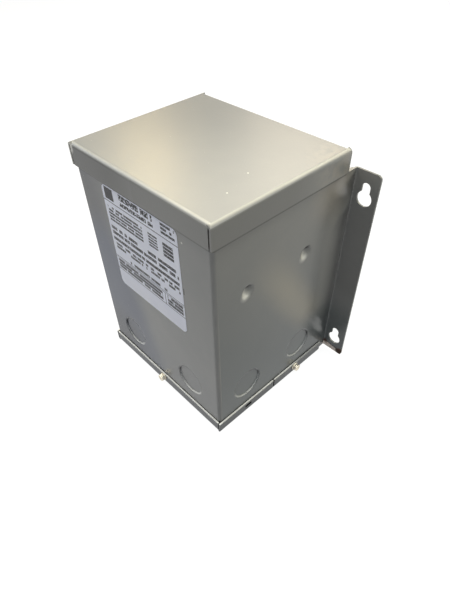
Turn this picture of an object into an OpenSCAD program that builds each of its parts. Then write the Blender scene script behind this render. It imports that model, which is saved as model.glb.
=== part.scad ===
// Buck boost transformer, potted in a folded sheet-steel case with mounting flanges.
// X is centred on the case. Y runs from the front wall back to the mounting plane.
// Z is zero under the bottom covers. The last step shifts Y so that the origin is
// under the middle of the whole part.

/* [Case] */
// Width over the side walls
case_w = 152.4; // [144:0.1:190]
// Height over the top cover
case_h = 213.9; // [178:0.1:260]
// Depth from the front wall's outer face to the mounting plane
case_d = 144.1; // [120:0.1:180]
// Thickness of the case, back and top sheets
sheet_t = 1.5; // [1.2:0.1:1.8]
// Outer radius of the two front corner bends
case_bend_r = 3; // [2.5:0.1:5]
// Depth of the air gap between the back panel and the mounting plane
air_gap = 15.8; // [14:0.1:22]
// How far the back panel's return flanges reach behind it
return_reach = 12.4; // [6:0.1:13]

/* [Mounting flanges] */
// Width of each flange beyond the side wall
flange_w = 21.3; // [19:0.1:30]
// Height of the flanges' lower edge
flange_z0 = 1.5; // [0.5:0.1:9]
// Radius of the flanges' outer corners
flange_corner_r = 3.5; // [1:0.1:6]
// Inner radius of the bend between wall and flange
flange_bend_r = 1; // [0.5:0.1:2]
// Radius of a keyhole's round opening, for the bolt head
key_head_r = 6.35; // [5:0.05:7]
// Radius of a keyhole's slot, for the bolt
key_slot_r = 3.6; // [2.5:0.05:4]
// Height from a keyhole's round opening to the end of its slot
key_rise = 9.4; // [7.5:0.1:12]
// Distance from the flange's top edge down to the upper round openings
key_top_inset = 21.9; // [20:0.1:30]
// Distance from the flange's lower edge up to the lower round openings
key_low_inset = 17.5; // [13:0.1:24]

/* [Knockouts and dimples] */
// Radius of a conduit knockout
knockout_r = 14.1; // [11:0.1:16]
// How far a half-sheared knockout is pushed inward
knockout_step = 0.9; // [0.3:0.1:1]
// Height of the knockouts' centres
knockout_z = 38.5; // [34:0.1:42]
// Distance of the front knockouts from the middle
knockout_x = 40; // [25:0.1:48]
// Distance of the first side knockout behind the front wall
knockout_front_y = 32.5; // [24:0.1:40]
// Distance of the second side knockout in front of the back panel's rear face
knockout_rear_inset = 30.8; // [24:0.1:40]
// Radius at which a pressed dimple's soft edge meets the sheet's face
dimple_r = 7; // [6:0.1:8]
// Radius of a dimple's soft edge
dimple_edge_r = 3.5; // [2:0.1:5.5]
// Depth of a pressed dimple
dimple_depth = 2.8; // [1:0.1:3]
// Height of the dimples' centres
dimple_z = 144; // [110:0.1:150]
// Distance of the first dimple behind the front wall
dimple_front_y = 31; // [20:0.1:40]
// Distance of the second dimple in front of the back panel's rear face
dimple_rear_inset = 35.3; // [20:0.1:40]

/* [Top cover] */
// Height of the top cover's flanges
lid_h = 18.15; // [12:0.05:25]
// Outer radius of the top cover's bends
lid_bend_r = 3.4; // [2:0.1:3.6]
// Width of the open slit at each corner of a folded cover
corner_slit = 1.2; // [1.1:0.1:2]

/* [Bottom covers] */
// Thickness of the bottom covers
pan_t = 1.2; // [1:0.1:1.5]
// Height of the bottom covers' flanges
pan_h = 11.8; // [11:0.1:13]
// Outer radius of the bottom covers' bends
pan_bend_r = 2.2; // [1.8:0.1:2.2]
// Where the front cover ends and the rear one begins
seam_y = 67; // [50:0.1:80]
// Width of the seam between the two covers
seam_gap = 1.4; // [0.5:0.1:1.5]
// Distance from the rear cover's end to the mounting plane
pan_rear_inset = 10.1; // [9:0.1:12]
// Height of the cover screws
cover_screw_z = 8; // [7.4:0.1:8.4]
// Distance of the rear cover's screws behind the front wall
side_screw_y = 96; // [85:0.1:105]
// Distance of the oblong slots behind the front wall
slot_y = 33.7; // [25:0.1:40]
// Height of the slots' centres
slot_z = 7.2; // [6.5:0.1:8]
// Length of an oblong slot
slot_l = 8; // [6:0.1:10]
// Height of an oblong slot
slot_h = 3.2; // [2:0.1:4]

/* [Screws] */
// Radius of a screw's shank
screw_r = 2.1; // [1.8:0.05:2.4]
// Radius of the washer face under a screw's hexagon
screw_washer_r = 3.8; // [3.7:0.1:4.2]
// Width across the flats of a screw's hexagon
screw_hex = 6.35; // [5.5:0.05:7]
// Height of a screw's head with its washer face
screw_head_h = 4.3; // [3:0.1:5]
// Length of a screw's shank
screw_l = 10; // [6:0.5:14]

/* [Data label] */
// Width of the label
label_w = 86.2; // [60:0.1:95]
// Height of the label
label_h = 94.4; // [60:0.1:95]
// Corner radius of the label
label_r = 4.8; // [2:0.1:8]
// Thickness of the label
label_t = 0.2; // [0.1:0.05:0.4]
// Distance from the top cover's lip down to the label
label_drop = 2.4; // [1:0.1:6]

/* [Core] */
// Compound between the core and each side wall
core_side_fill = 8; // [6:0.1:14]
// Compound in front of the coil and behind it
core_end_fill = 10.4; // [8:0.1:16]
// Least compound above and below the core
core_low_fill = 12; // [11:0.1:20]
// Number of lamination packets in the stack
packets = 10; // [6:2:14]
// Varnish gap between two packets
packet_gap = 0.1; // [0.05:0.05:0.2]
// Radius of a core bolt
bolt_r = 3; // [2.5:0.1:3.5]

/* [Coil] */
// Thickness of the coil former's tube and cheeks
former_t = 1.5; // [1:0.1:2]
// Thickness of the insulation between the windings
insulation_t = 1; // [0.5:0.1:1.5]
// Thickness of the outer wrap
wrap_t = 0.9; // [0.5:0.1:1.2]
// Share of the winding space that the inner winding takes
inner_share = 0.49; // [0.4:0.01:0.6]
// Gap between the coil and the core's outer legs
coil_side_gap = 2.4; // [1.5:0.1:3]

/* [Wiring compartment] */
// Height of the barrier board's underside
board_z = 60; // [56:0.1:62]
// Thickness of the barrier board
board_t = 2; // [1.5:0.1:3]
// Distance between two leads in a row
lead_pitch = 13; // [11:0.1:14]
// Radius of a primary lead
primary_r = 1.9; // [1.5:0.1:2.2]
// Radius of a secondary lead
secondary_r = 2.5; // [2:0.1:3]
// Height of the centre of a lead's fold
fold_z = 29; // [26:0.1:34]
// Radius of a lead's fold along its middle
fold_r = 7; // [6:0.1:8]

/* [Hidden] */
$fn = 64;
eps = 0.5;

steel_paint = "#82827d";
zinc = "#cfcab4";

// Case walls: half widths, and the heights that the covers leave them
half_w = case_w / 2;
inner_hw = half_w - sheet_t;
fit_gap = 0.2;
layer_gap = 0.1;
back_y = case_d - air_gap;
back_inner_y = back_y - sheet_t;
wall_z0 = pan_bend_r + layer_gap;
wall_z1 = case_h - lid_bend_r - layer_gap;
lip_z = case_h - lid_h;
flange_z1 = lip_z - 0.85;
knockout_rear_y = back_y - knockout_rear_inset;
dimple_rear_y = back_y - dimple_rear_inset;

// A dimple's ball and soft edge touch each other; the edge crosses the sheet's face a hair
// before it would lie flat on it
dimple_skim = 0.05;
dimple_fall = dimple_depth + dimple_skim;
dimple_reach = (pow(dimple_r, 2) + pow(dimple_fall, 2)) / (2 * dimple_fall);
dimple_ball_r = dimple_reach - dimple_edge_r;
dimple_ball_out = dimple_ball_r - dimple_depth;

// Keyholes: the middle of each flange, and the heights of the round openings
key_x = half_w + flange_w / 2;
key_low_z = flange_z0 + key_low_inset;
key_top_z = flange_z1 - key_top_inset;

// Covers: their outer half widths and reach
lid_hw = half_w + fit_gap + sheet_t;
pan_gap = 0.15;
pan_proud = pan_gap + pan_t;
pan_hw = half_w + pan_proud;
pan_rear_y = case_d - pan_rear_inset;
upstand_gap = 0.5;
screw_hole_r = screw_r + 0.3;
front_reach = pan_proud + screw_head_h;
middle_y = (case_d - front_reach) / 2;

// Space for the compound, and the core that it takes
board_top_z = board_z + board_t;
expansion_gap = 6.4;
fill_z1 = wall_z1 - expansion_gap;
fill_h = fill_z1 - board_top_z;
lam_a = min((2 * inner_hw - 2 * core_side_fill) / 3, (fill_h - 2 * core_low_fill) / 2.5);
stack_d = back_inner_y - sheet_t - 2 * (lam_a / 2 + core_end_fill);
core_y = (sheet_t + back_inner_y) / 2;
core_z = (board_top_z + fill_z1) / 2;
core_h = 2.5 * lam_a;
window_w = lam_a / 2;
window_h = 1.5 * lam_a;
packet_t = stack_d / packets;
bolt_x = 1.25 * lam_a;
bolt_z = core_h / 2 - lam_a / 4;
bolt_hole_r = bolt_r + 0.3;
washer_t = 1.6;
washer_r = bolt_r + 4;
nut_h = 5;
nut_r = bolt_r * 1.92;
bolt_tail = 3;

// Coil layers, each given by its distance from the centre leg
former_in = 0.3;
former_out = former_in + former_t;
coil_build = window_w - coil_side_gap;
winding_space = coil_build - former_out - insulation_t - wrap_t - 4 * layer_gap;
inner_in = former_out + layer_gap;
inner_out = inner_in + winding_space * inner_share;
insulation_in = inner_out + layer_gap;
insulation_out = insulation_in + insulation_t;
outer_in = insulation_out + layer_gap;
outer_out = outer_in + winding_space * (1 - inner_share);
wrap_in = outer_out + layer_gap;
wrap_out = wrap_in + wrap_t;
former_h = window_h - 2 * former_in;
winding_h = former_h - 2 * former_t - 2 * layer_gap;
winding_z0 = core_z - winding_h / 2;

// Leads: two rows of four, below the front and the rear of the coil
lead_xs = [for (i = [-1.5 : 1 : 1.5]) i * lead_pitch];
primary_y = core_y - stack_d / 2 - (inner_in + inner_out) / 2;
secondary_y = core_y + stack_d / 2 + (outer_in + outer_out) / 2;
lead_end_z = board_z - 8;
tip_l = 6;
tip_share = 0.55;
grommet_wall = 1.5;
grommet_flange = 1.6;
grommet_drop = 1.4;
ground_x = 52;
ground_z = 24;
ground_screw_l = 4;

// Moves a piece from the case's own axes to the part's origin
module in_frame() {
    translate([0, -middle_y, 0]) children();
}

// A box from its lowest corner to its highest one
module box(low, high) {
    translate(low) cube(high - low);
}

// Copies its children to the other side of the middle plane
module both_sides() {
    for (side = [0, 1]) mirror([side, 0, 0]) children();
}

// A quarter of a bent sheet, in the plane's first quadrant
module quarter_bend(r_out, t) {
    intersection() {
        difference() {
            circle(r_out);
            circle(r_out - t);
        }
        square(r_out + eps);
    }
}

// A rectangle with rounded corners, from its half sizes
module rounded_rect(hx, hy, r) {
    square([2 * hx, 2 * (hy - r)], center = true);
    square([2 * (hx - r), 2 * hy], center = true);
    for (sx = [-1, 1], sy = [-1, 1]) translate([sx * (hx - r), sy * (hy - r)]) circle(r);
}

// A cylinder along Y, from y0 to y1
module rod_y(x, z, r, y0, y1) {
    translate([x, y1, z]) rotate([90, 0, 0]) cylinder(h = y1 - y0, r = r);
}

// A cylinder along X, from x0 to x1
module rod_x(y, z, r, x0, x1) {
    translate([x0, y, z]) rotate([0, 90, 0]) cylinder(h = x1 - x0, r = r);
}

// A folded cover with its plate at the bottom: side flanges run its whole length,
// an end flange stands between them behind an open slit at each corner
module folded_cover(hw, y0, y1, h, t, r, front_hw, rear_hw) {
    plate_y0 = front_hw > 0 ? y0 + r : y0;
    plate_y1 = rear_hw > 0 ? y1 - r : y1;
    box([-(hw - r), plate_y0, 0], [hw - r, plate_y1, t]);
    both_sides() {
        box([hw - t, y0, r], [hw, y1, h]);
        translate([hw - r, y1, r]) rotate([90, 0, 0]) mirror([0, 1, 0])
            linear_extrude(y1 - y0) quarter_bend(r, t);
    }
    if (front_hw > 0) end_flange(front_hw, y0, h, t, r);
    if (rear_hw > 0) translate([0, y0 + y1, 0]) mirror([0, 1, 0]) end_flange(rear_hw, y0, h, t, r);
}

// The bend and the upright of a cover's front edge
module end_flange(end_hw, y0, h, t, r) {
    box([-end_hw, y0, r], [end_hw, y0 + t, h]);
    translate([-end_hw, y0 + r, r]) rotate([90, 0, 90]) rotate(180)
        linear_extrude(2 * end_hw) quarter_bend(r, t);
}

// Plan outline of the folded case: front wall, side walls and outward flanges
module case_profile() {
    r = case_bend_r;
    rb = flange_bend_r;
    rear_r = rb + sheet_t;
    translate([-(half_w - r), 0]) square([2 * (half_w - r), sheet_t]);
    for (side = [0, 1]) mirror([side, 0]) {
        translate([half_w - r, r]) mirror([0, 1]) quarter_bend(r, sheet_t);
        translate([inner_hw, r]) square([sheet_t, case_d - rear_r - r]);
        translate([half_w + rb, case_d - rear_r]) mirror([1, 0]) quarter_bend(rear_r, sheet_t);
        translate([half_w + rb, case_d - sheet_t]) square([flange_w - rb, sheet_t]);
    }
}

// The part of a flange's corner that its rounding takes away
module flange_corner_cut() {
    r = flange_corner_r;
    difference() {
        box([half_w + flange_w - r, case_d - sheet_t - eps, -eps], [half_w + flange_w + eps, case_d + eps, r]);
        rod_y(half_w + flange_w - r, r, r, case_d - 3 * sheet_t, case_d + 2 * sheet_t);
    }
}

// A keyhole with its slot above its round opening
module keyhole(z) {
    y0 = case_d - sheet_t - eps;
    y1 = case_d + eps;
    rod_y(key_x, z, key_head_r, y0, y1);
    rod_y(key_x, z + key_rise, key_slot_r, y0, y1);
    box([key_x - key_slot_r, y0, z], [key_x + key_slot_r, y1, z + key_rise]);
}

// Centres of the dimples' balls, outside the side walls
module at_dimples() {
    both_sides()
        for (y = [dimple_front_y, dimple_rear_y])
            translate([half_w + dimple_ball_out, y, dimple_z]) children();
}

// The hollow of a dimple, its axis along X and its ball's centre at the origin:
// a ball's cap that turns into a soft edge
module dimple_hollow() {
    turn_r = dimple_r * dimple_ball_r / dimple_reach;
    turn_z = (dimple_fall - dimple_reach) * dimple_ball_r / dimple_reach;
    top_z = eps - dimple_ball_out;
    low_z = -dimple_ball_r - eps;
    rotate([0, 90, 0]) rotate_extrude() {
        intersection() {
            circle(dimple_ball_r);
            translate([0, low_z]) square([turn_r, top_z - low_z]);
        }
        difference() {
            translate([turn_r, turn_z]) square([dimple_r - turn_r, top_z - turn_z]);
            translate([dimple_r, dimple_fall - dimple_reach]) circle(dimple_edge_r);
        }
    }
}

module case_wrap() {
    color(steel_paint) in_frame() difference() {
        union() {
            translate([0, 0, wall_z0]) linear_extrude(wall_z1 - wall_z0) case_profile();
            both_sides() {
                rod_y(knockout_x, knockout_z, knockout_r, sheet_t - eps, sheet_t + knockout_step);
                for (y = [knockout_front_y, knockout_rear_y])
                    rod_x(y, knockout_z, knockout_r, inner_hw - knockout_step, inner_hw + eps);
            }
            intersection() {
                at_dimples() sphere(dimple_ball_r + sheet_t);
                box([-half_w, 0, 0], [half_w, back_y, case_h]);
            }
        }
        at_dimples() dimple_hollow();
        both_sides() {
            rod_y(knockout_x, knockout_z, knockout_r, -eps, knockout_step);
            for (y = [knockout_front_y, knockout_rear_y])
                rod_x(y, knockout_z, knockout_r, half_w - knockout_step, half_w + eps);
            rod_x(side_screw_y, cover_screw_z, screw_hole_r, inner_hw - eps, half_w + eps);
            for (z = [key_low_z, key_top_z]) keyhole(z);
            box([0, back_y, -eps], [half_w + flange_w + eps, case_d + eps, flange_z0]);
            box([0, back_y, flange_z1], [half_w + flange_w + eps, case_d + eps, case_h]);
            translate([0, 0, flange_z0]) flange_corner_cut();
            translate([0, 0, flange_z1]) mirror([0, 0, 1]) flange_corner_cut();
        }
        rod_y(0, cover_screw_z, screw_hole_r, -eps, sheet_t + eps);
    }
}

module back_panel() {
    r = flange_bend_r + sheet_t;
    return_z0 = pan_h + fit_gap + 2;
    color(steel_paint) in_frame() difference() {
        union() {
            box([-(inner_hw - r), back_inner_y, wall_z0], [inner_hw - r, back_y, wall_z1]);
            both_sides() {
                box([inner_hw - r, back_inner_y, wall_z0], [inner_hw, back_y, return_z0]);
                box([inner_hw - r, back_inner_y, flange_z1], [inner_hw, back_y, wall_z1]);
                translate([inner_hw - r, back_inner_y + r, return_z0]) mirror([0, 1, 0])
                    linear_extrude(flange_z1 - return_z0) quarter_bend(r, sheet_t);
                box([inner_hw - sheet_t, back_inner_y + r, return_z0], [inner_hw, back_y + return_reach, flange_z1]);
            }
        }
        rod_y(ground_x, ground_z, screw_hole_r, back_inner_y - eps, back_y + eps);
    }
}

module top_cover() {
    end_hw = lid_hw - sheet_t - corner_slit;
    color(steel_paint) in_frame() translate([0, 0, case_h]) mirror([0, 0, 1])
        folded_cover(lid_hw, -(fit_gap + sheet_t), back_y + fit_gap + sheet_t, lid_h, sheet_t,
            lid_bend_r, end_hw, end_hw);
}

// A round relief through the plate where a side bend and an end bend meet
module corner_relief() {
    translate([pan_hw - pan_bend_r, -pan_proud + pan_bend_r, -eps]) cylinder(h = pan_t + 2 * eps, r = 1.3);
}

module front_bottom_cover() {
    end_hw = pan_hw - pan_t - corner_slit;
    color(steel_paint) in_frame() difference() {
        folded_cover(pan_hw, -pan_proud, seam_y - seam_gap / 2, pan_h, pan_t, pan_bend_r, end_hw, 0);
        rod_y(0, cover_screw_z, screw_hole_r, -pan_proud - eps, eps);
        both_sides() {
            corner_relief();
            for (end = [-1, 1])
                rod_x(slot_y + end * (slot_l - slot_h) / 2, slot_z, slot_h / 2, half_w - eps, pan_hw + eps);
            box([half_w - eps, slot_y - (slot_l - slot_h) / 2, slot_z - slot_h / 2],
                [pan_hw + eps, slot_y + (slot_l - slot_h) / 2, slot_z + slot_h / 2]);
        }
    }
}

module rear_bottom_cover() {
    color(steel_paint) in_frame() difference() {
        folded_cover(pan_hw, seam_y + seam_gap / 2, pan_rear_y, pan_h, pan_t, pan_bend_r, 0,
            inner_hw - upstand_gap);
        both_sides() rod_x(side_screw_y, cover_screw_z, screw_hole_r, half_w - eps, pan_hw + eps);
    }
}

// A hex washer head screw along Z, its washer face on z = 0 and its shank below
module washer_head_screw(shank_l) {
    washer_h = 0.9;
    difference() {
        union() {
            cylinder(h = washer_h, r = screw_washer_r);
            cylinder(h = screw_head_h, r = screw_hex / sqrt(3), $fn = 6);
        }
        translate([0, 0, screw_head_h - 0.5]) cylinder(h = 0.5 + eps, r = screw_hex * 0.32);
    }
    translate([0, 0, -shank_l]) cylinder(h = shank_l + washer_h / 2, r = screw_r);
}

module front_cover_screw() {
    color(zinc) in_frame() translate([0, -pan_proud, cover_screw_z]) rotate([90, 0, 0]) washer_head_screw(screw_l);
}

module rear_cover_screws() {
    color(zinc) in_frame() both_sides()
        translate([pan_hw, side_screw_y, cover_screw_z]) rotate([0, 90, 0]) washer_head_screw(screw_l);
}

module ground_screw() {
    color("#3f7d4b") in_frame() translate([ground_x, back_inner_y, ground_z])
        rotate([90, 0, 0]) washer_head_screw(ground_screw_l);
}

module data_label() {
    color("#d5dade") in_frame() translate([0, 0, lip_z - label_drop - label_h / 2])
        rotate([90, 0, 0]) linear_extrude(label_t) rounded_rect(label_w / 2, label_h / 2, label_r);
}

// Places its children at the core's middle, packet by packet, turning every other one over
module at_packets() {
    for (i = [0 : packets - 1])
        translate([0, core_y - stack_d / 2 + (i + 0.5) * packet_t, core_z])
            rotate([0, (i % 2) * 180, 0]) children();
}

module core_bolt_holes() {
    for (sx = [-1, 1], sz = [-1, 1])
        rod_y(sx * bolt_x, sz * bolt_z, bolt_hole_r, -packet_t, packet_t);
}

module core_e_laminations() {
    a = lam_a;
    ht = (packet_t - packet_gap) / 2;
    color("#5b5b5e") in_frame() at_packets() difference() {
        box([-1.5 * a, -ht, -0.75 * a], [1.5 * a, ht, 1.25 * a]);
        for (side = [-1, 1])
            translate([side * 0.75 * a, 0, 0]) box([-a / 4, -ht - eps, -a], [a / 4, ht + eps, 0.75 * a]);
        core_bolt_holes();
    }
}

module core_i_laminations() {
    a = lam_a;
    ht = (packet_t - packet_gap) / 2;
    color("#66666a") in_frame() at_packets() difference() {
        box([-1.5 * a, -ht, -1.25 * a], [1.5 * a, ht, -0.75 * a - packet_gap / 2]);
        core_bolt_holes();
    }
}

module at_bolts() {
    for (sx = [-1, 1], sz = [-1, 1])
        translate([sx * bolt_x, core_y, core_z + sz * bolt_z]) rotate([90, 0, 0]) children();
}

module core_bolts() {
    seat = stack_d / 2 + washer_t;
    color("silver") in_frame() at_bolts() {
        translate([0, 0, -seat - nut_h - bolt_tail])
            cylinder(h = 2 * seat + nut_h + bolt_tail + eps, r = bolt_r);
        translate([0, 0, seat]) cylinder(h = nut_h, r = nut_r, $fn = 6);
    }
}

module core_nuts() {
    seat = stack_d / 2 + washer_t;
    color("silver") in_frame() at_bolts() difference() {
        translate([0, 0, -seat - nut_h]) cylinder(h = nut_h, r = nut_r, $fn = 6);
        translate([0, 0, -seat - nut_h - eps]) cylinder(h = nut_h + 2 * eps, r = bolt_r + layer_gap);
    }
}

module core_washers() {
    color("silver") in_frame() at_bolts() for (end = [-1, 1])
        translate([0, 0, end * (stack_d + washer_t) / 2]) difference() {
            cylinder(h = washer_t, r = washer_r, center = true);
            cylinder(h = washer_t + 2 * eps, r = bolt_hole_r, center = true);
        }
}

// Outline of the coil at a given distance from the centre leg
module coil_outline(distance) {
    rounded_rect(lam_a / 2 + distance, stack_d / 2 + distance, distance);
}

// A ring around the centre leg, between two distances from it
module coil_layer(inner, outer, h) {
    translate([0, core_y, core_z - h / 2]) linear_extrude(h) difference() {
        coil_outline(outer);
        coil_outline(inner);
    }
}

module coil_former() {
    color("#c9b98f") in_frame() difference() {
        union() {
            coil_layer(former_in, former_out, former_h);
            for (end = [-1, 1])
                translate([0, 0, end * (former_h - former_t) / 2]) coil_layer(former_in, wrap_out, former_t);
        }
        lead_runs(layer_gap);
    }
}

module inner_winding() {
    color("#a8582c") in_frame() coil_layer(inner_in, inner_out, winding_h);
}

module interwinding_insulation() {
    color("#d8cfae") in_frame() coil_layer(insulation_in, insulation_out, winding_h);
}

module outer_winding() {
    color("#b4632f") in_frame() coil_layer(outer_in, outer_out, winding_h);
}

module coil_wrap() {
    color("#b8a25a") in_frame() coil_layer(wrap_in, wrap_out, winding_h);
}

// The straight stretch of every lead from its winding down, wider by a clearance
module lead_runs(clearance) {
    for (x = lead_xs) {
        translate([x, primary_y, fold_z]) cylinder(h = winding_z0 - fold_z, r = primary_r + clearance);
        translate([x, secondary_y, fold_z]) cylinder(h = winding_z0 - fold_z, r = secondary_r + clearance);
    }
}

// A lead from its winding down, folded back up towards +Y, with a bare end
module lead(r) {
    cylinder(h = winding_z0 - fold_z, r = r);
    translate([0, fold_r, 0]) rotate([90, 0, 90]) rotate(180)
        rotate_extrude(angle = 180) translate([fold_r, 0]) circle(r);
    translate([0, 2 * fold_r, 0]) {
        cylinder(h = lead_end_z - fold_z, r = r);
        cylinder(h = lead_end_z - fold_z + tip_l, r = r * tip_share);
    }
}

module primary_leads() {
    color("#2c2c2e") in_frame() for (x = lead_xs) translate([x, primary_y, fold_z]) lead(primary_r);
}

module secondary_leads() {
    color("#a33b34") in_frame()
        for (x = lead_xs) translate([x, secondary_y, fold_z]) mirror([0, 1, 0]) lead(secondary_r);
}

// A flanged bush for one lead, through the barrier board
module grommet(r) {
    difference() {
        union() {
            cylinder(h = board_t, r = r + grommet_wall);
            translate([0, 0, -grommet_drop]) cylinder(h = grommet_drop, r = r + grommet_wall + grommet_flange);
        }
        translate([0, 0, -grommet_drop - eps])
            cylinder(h = board_t + grommet_drop + 2 * eps, r = r + layer_gap);
    }
}

module lead_grommets() {
    color("#1f1f21") in_frame() for (x = lead_xs) {
        translate([x, primary_y, board_z]) grommet(primary_r);
        translate([x, secondary_y, board_z]) grommet(secondary_r);
    }
}

module barrier_board() {
    color("#8a6a44") in_frame() difference() {
        translate([0, 0, board_z]) linear_extrude(board_t) inside_plan(fit_gap);
        for (x = lead_xs) translate([x, 0, board_z - eps]) {
            translate([0, primary_y, 0])
                cylinder(h = board_t + 2 * eps, r = primary_r + grommet_wall + layer_gap);
            translate([0, secondary_y, 0])
                cylinder(h = board_t + 2 * eps, r = secondary_r + grommet_wall + layer_gap);
        }
    }
}

// Plan of the space inside the case, less a gap all round and the two bent corners
module inside_plan(gap) {
    cut = sqrt(2) * (case_bend_r - sheet_t + fit_gap);
    hw = inner_hw - gap;
    y0 = sheet_t + gap;
    difference() {
        translate([-hw, y0]) square([2 * hw, back_inner_y - gap - y0]);
        for (side = [0, 1]) mirror([side, 0]) translate([hw, y0]) rotate(45) square(cut, center = true);
    }
}

// The core's closed outline with its two windows
module core_envelope() {
    translate([0, core_y, core_z]) difference() {
        cube([3 * lam_a, stack_d, core_h], center = true);
        for (side = [-1, 1])
            translate([side * 0.75 * lam_a, 0, 0]) cube([window_w, stack_d + 2 * eps, window_h], center = true);
    }
}

module bolt_envelope() {
    seat = stack_d / 2 + washer_t;
    at_bolts() {
        cylinder(h = 2 * seat, r = washer_r, center = true);
        translate([0, 0, seat - eps]) cylinder(h = nut_h + eps, r = nut_r, $fn = 6);
        translate([0, 0, -seat - nut_h]) cylinder(h = nut_h + eps, r = nut_r, $fn = 6);
        translate([0, 0, -seat - nut_h - bolt_tail]) cylinder(h = nut_h + bolt_tail + eps, r = bolt_r);
    }
}

module potting_compound() {
    color("#26241f") in_frame() difference() {
        translate([0, 0, board_top_z]) linear_extrude(fill_h) inside_plan(0);
        core_envelope();
        bolt_envelope();
        translate([0, core_y, core_z - window_h / 2]) linear_extrude(window_h) coil_outline(wrap_out);
        lead_runs(layer_gap);
        at_dimples() sphere(dimple_ball_r + sheet_t + layer_gap);
    }
}

case_wrap();
back_panel();
top_cover();
front_bottom_cover();
rear_bottom_cover();
front_cover_screw();
rear_cover_screws();
data_label();
core_e_laminations();
core_i_laminations();
core_bolts();
core_washers();
core_nuts();
coil_former();
inner_winding();
interwinding_insulation();
outer_winding();
coil_wrap();
potting_compound();
barrier_board();
lead_grommets();
primary_leads();
secondary_leads();
ground_screw();
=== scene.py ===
# %% [markdown]
# # The looks of a potted transformer in a folded steel case
#
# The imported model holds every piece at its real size. This lesson keeps those pieces where they
# are and gives them what a photograph shows: baked grey enamel with its orange peel, worn and
# rusty spots, a printed label, zinc plated screws, and the softened edges of punched sheet.
# All lengths are in metres, in the model's own frame: X to the right, Y back to the wall, Z up.

# %% Load the frame
import math

import bmesh
import bpy
from mathutils import Euler, Matrix, Vector


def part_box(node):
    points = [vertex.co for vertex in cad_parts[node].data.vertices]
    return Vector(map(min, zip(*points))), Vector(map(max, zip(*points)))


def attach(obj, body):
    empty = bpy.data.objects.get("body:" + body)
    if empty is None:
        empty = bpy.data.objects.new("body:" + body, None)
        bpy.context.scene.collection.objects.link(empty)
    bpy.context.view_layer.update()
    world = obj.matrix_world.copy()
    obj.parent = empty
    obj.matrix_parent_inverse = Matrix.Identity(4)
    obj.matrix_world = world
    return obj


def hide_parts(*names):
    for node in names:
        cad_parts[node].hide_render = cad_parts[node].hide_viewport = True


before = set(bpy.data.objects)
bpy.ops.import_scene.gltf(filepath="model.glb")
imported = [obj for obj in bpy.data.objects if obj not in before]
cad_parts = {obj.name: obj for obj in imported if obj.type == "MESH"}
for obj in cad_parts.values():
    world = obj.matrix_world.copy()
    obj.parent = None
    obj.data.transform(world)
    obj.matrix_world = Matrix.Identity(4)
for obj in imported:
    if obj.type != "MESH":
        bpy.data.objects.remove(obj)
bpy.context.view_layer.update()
MM = 0.001
print("nodes in the frame:", len(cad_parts))

# %% [markdown]
# ## The camera
#
# The camera was solved from the straight edges of the case, so its place, its three angles and
# its lens are plain numbers. The optical axis misses the picture's middle by a few pixels,
# because the picture was trimmed, and a small shift says so.

# %% Place the camera
bpy.ops.object.camera_add(location=(0.2420, -0.2118, 0.3617))
camera = bpy.context.object
camera.name = "photo_camera"
camera.rotation_euler = Euler([math.radians(a) for a in (45.52, 1.553, 47.07)])
camera.data.sensor_width = 36
camera.data.lens = 28.115
camera.data.shift_x = 0.0103
camera.data.shift_y = 0.0173
camera.data.clip_start = 0.01
bpy.context.scene.camera = camera
bpy.context.scene.view_settings.view_transform = "Standard"
print("camera lens", camera.data.lens, "mm")

# %% [markdown]
# ## Sums on shader sockets
#
# A pattern is easier to read as a sum than as a web of nodes. The class below wraps a socket so
# that plus, minus, times and the comparisons each add one Math node. The reflected forms let a
# number stand on the left, as in 1 - mask.

# %% Wrap a socket so that sums add Math nodes
class Level:
    """One number that varies over a surface: the output socket of a node."""

    def __init__(self, finish, socket):
        self.finish = finish
        self.socket = socket

    def math(self, operation, *others):
        return self.finish.math(operation, self, *others)

    def __add__(self, other): return self.math("ADD", other)
    def __radd__(self, other): return self.math("ADD", other)
    def __sub__(self, other): return self.math("SUBTRACT", other)
    def __rsub__(self, other): return self.finish.math("SUBTRACT", other, self)
    def __mul__(self, other): return self.math("MULTIPLY", other)
    def __rmul__(self, other): return self.math("MULTIPLY", other)
    def __truediv__(self, other): return self.math("DIVIDE", other)
    def __rtruediv__(self, other): return self.finish.math("DIVIDE", other, self)
    def __gt__(self, other): return self.math("GREATER_THAN", other)
    def __lt__(self, other): return self.math("LESS_THAN", other)
    def __or__(self, other): return self.math("MAXIMUM", other)
    def __and__(self, other): return self.math("MULTIPLY", other)

    def fract(self): return self.math("FRACT")
    def floor(self): return self.math("FLOOR")
    def abs(self): return self.math("ABSOLUTE")
    def root(self): return self.math("SQRT")

    def between(self, low, high):
        """1 inside the two limits and 0 outside."""
        return (self > low) & (self < high)

    def ramp(self, low, high):
        """Rises smoothly from 0 at low to 1 at high."""
        return self.finish.make("ShaderNodeMapRange", {"interpolation_type": "SMOOTHSTEP"},
                                {"Value": self, "From Min": low, "From Max": high})

print("socket sums are ready")

# %% [markdown]
# ## One class for a finish
#
# A finish is a material with one Principled shader. make() adds any node from its type, its
# settings and its inputs; the other methods are short names for the nodes that come up often.
# Patterns read Object coordinates. Every finished object sits at the origin, so these are the
# model's own coordinates in metres and a stripe can be put at a real height.

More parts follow.
